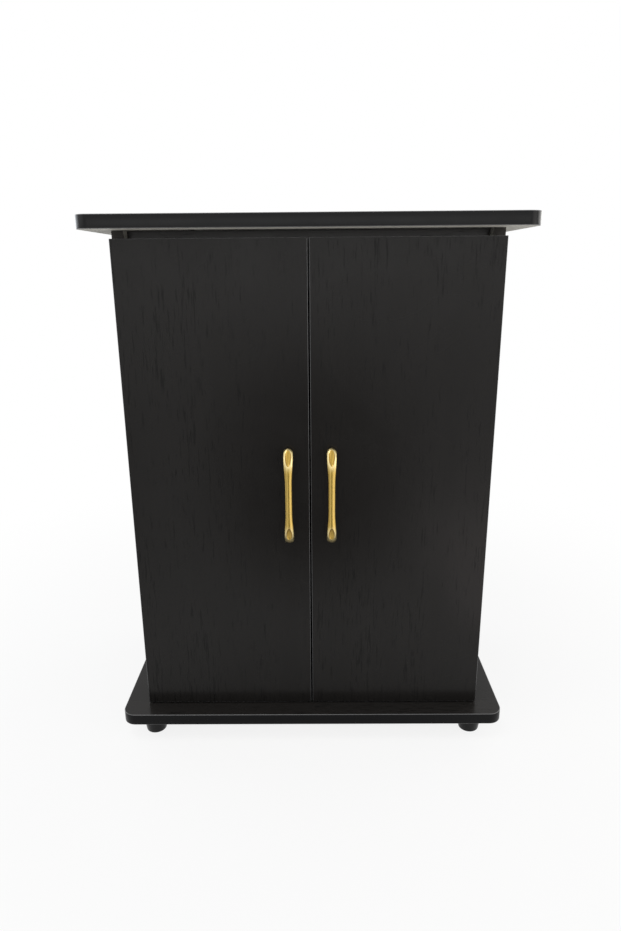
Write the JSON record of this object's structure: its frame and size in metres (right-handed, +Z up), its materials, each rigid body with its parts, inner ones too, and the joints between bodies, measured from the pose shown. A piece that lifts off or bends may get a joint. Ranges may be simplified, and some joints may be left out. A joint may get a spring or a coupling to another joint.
{
  "type": "aquarium cabinet",
  "caption": "Two-door aquarium cabinet: doors on concealed link hinges between overhanging boards with rounded front corners, bow handles, loose shelf, hose holes and round feet.",
  "frame": {"origin": "middle of the footprint, on the floor under the feet", "axes": "+Z up, doors and handles face -Y, +X to the right seen from the front"},
  "size_m": [0.6, 0.35, 0.792],
  "materials": {
    "laminate": "black woodgrain laminate on particle board",
    "edge_band": "glossy black edge band",
    "hardboard": "thin dark hardboard",
    "gold_plate": "satin gold plate on a die casting",
    "nickel_steel": "nickel-plated pressed steel",
    "zinc": "die-cast zinc, dull",
    "beech": "fluted beech",
    "black_plastic": "moulded black plastic"
  },
  "bodies": {
    "cabinet": {"top_board": "laminate", "top_edge_band": "edge_band", "base_board": "laminate", "base_edge_band": "edge_band", "left_side_panel": "laminate", "right_side_panel": "laminate", "left_panel_band": "edge_band", "right_panel_band": "edge_band", "front_rail": "laminate", "rear_rail": "laminate", "back_panel": "hardboard", "left_hose_grommet": "black_plastic", "right_hose_grommet": "black_plastic", "shelf": "laminate", "shelf_band": "edge_band", "shelf_pins": "nickel_steel", "cam_discs": "zinc", "cam_bolts": "nickel_steel", "dowels": "beech", "front_left_foot": "black_plastic", "front_right_foot": "black_plastic", "rear_left_foot": "black_plastic", "rear_right_foot": "black_plastic", "foot_screws": "nickel_steel", "left_hinge_plates": "nickel_steel", "right_hinge_plates": "nickel_steel", "left_hinge_arms": "nickel_steel", "right_hinge_arms": "nickel_steel", "left_plate_screws": "nickel_steel", "right_plate_screws": "nickel_steel", "left_arm_pins": "nickel_steel", "right_arm_pins": "nickel_steel"},
    "left_long_links": {"left_long_links": "nickel_steel"},
    "left_short_links": {"left_short_links": "nickel_steel"},
    "left_door": {"left_door": "laminate", "left_door_band": "edge_band", "left_handle": "gold_plate", "left_handle_screws": "nickel_steel", "left_hinge_cups": "nickel_steel", "left_cup_pins": "nickel_steel", "left_cup_screws": "nickel_steel"},
    "right_long_links": {"right_long_links": "nickel_steel"},
    "right_short_links": {"right_short_links": "nickel_steel"},
    "right_door": {"right_door": "laminate", "right_door_band": "edge_band", "right_handle": "gold_plate", "right_handle_screws": "nickel_steel", "right_hinge_cups": "nickel_steel", "right_cup_pins": "nickel_steel", "right_cup_screws": "nickel_steel"}
  },
  "joints": [
    {"name": "left_long_link_turn", "type": "hinge", "parent": "cabinet", "child": "left_long_links", "pos_m": [-0.222, -0.1142, 0.4075], "axis": [0, 0, 1], "range_deg": [0, 26]},
    {"name": "left_door_swing", "type": "hinge", "parent": "left_long_links", "child": "left_door", "pos_m": [-0.2517, -0.131, 0.4075], "axis": [0, 0, -1], "range_deg": [0, 117.76]},
    {"name": "left_short_link_turn", "type": "hinge", "parent": "cabinet", "child": "left_short_links", "pos_m": [-0.2348, -0.1352, 0.4075], "axis": [0, 0, 1], "range_deg": [0, 44]},
    {"name": "right_long_link_turn", "type": "hinge", "parent": "cabinet", "child": "right_long_links", "pos_m": [0.222, -0.1142, 0.4075], "axis": [0, 0, -1], "range_deg": [0, 26]},
    {"name": "right_door_swing", "type": "hinge", "parent": "right_long_links", "child": "right_door", "pos_m": [0.2517, -0.131, 0.4075], "axis": [0, 0, 1], "range_deg": [0, 117.76]},
    {"name": "right_short_link_turn", "type": "hinge", "parent": "cabinet", "child": "right_short_links", "pos_m": [0.2348, -0.1352, 0.4075], "axis": [0, 0, -1], "range_deg": [0, 44]}
  ],
  "couplings": [
    {"joint": "left_long_link_turn", "follows": "left_door_swing", "ratio": 0.21875},
    {"joint": "left_short_link_turn", "follows": "left_door_swing", "ratio": 0.36984},
    {"joint": "right_long_link_turn", "follows": "right_door_swing", "ratio": 0.21875},
    {"joint": "right_short_link_turn", "follows": "right_door_swing", "ratio": 0.36984}
  ]
}
